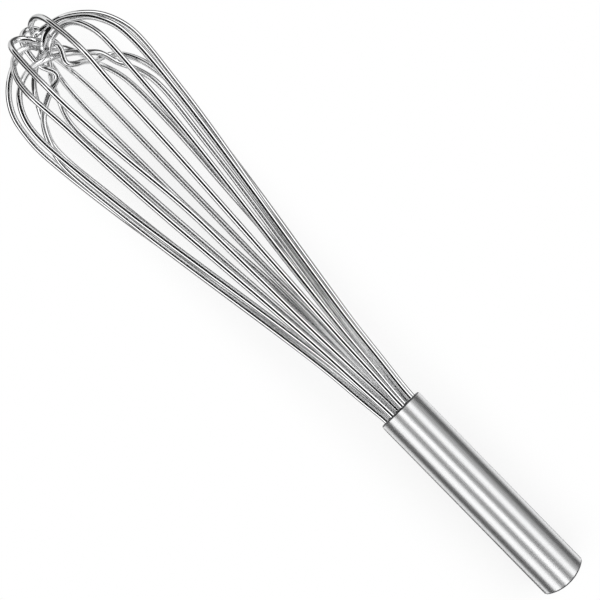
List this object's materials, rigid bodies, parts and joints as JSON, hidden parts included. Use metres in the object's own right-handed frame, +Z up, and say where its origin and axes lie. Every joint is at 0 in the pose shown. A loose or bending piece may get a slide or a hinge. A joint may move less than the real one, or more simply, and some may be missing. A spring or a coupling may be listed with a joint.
{
  "type": "whisk",
  "caption": "Wire whisk for beating and stirring by hand: a round tube handle with a crowned end holds a long balloon of wire loops, woven together at the tip.",
  "frame": {"origin": "on the surface that the whisk lies on, under the middle of its outline", "axes": "+X along the whisk towards the handle's end, tip towards -X; +Z up, away from the surface that it lies on"},
  "size_m": [0.305, 0.0614, 0.0615],
  "materials": {
    "wire_steel": "polished stainless steel wire",
    "handle_steel": "satin stainless steel tube",
    "resin": "cast grey resin"
  },
  "bodies": {
    "root": {"handle_tube": "handle_steel", "end_cap": "handle_steel", "resin_seal": "resin", "wire_loop_1": "wire_steel", "wire_loop_2": "wire_steel", "wire_loop_3": "wire_steel", "wire_loop_4": "wire_steel", "wire_loop_5": "wire_steel", "wire_loop_6": "wire_steel", "locking_loop": "wire_steel", "wire_loop_7": "wire_steel"}
  },
  "joints": []
}
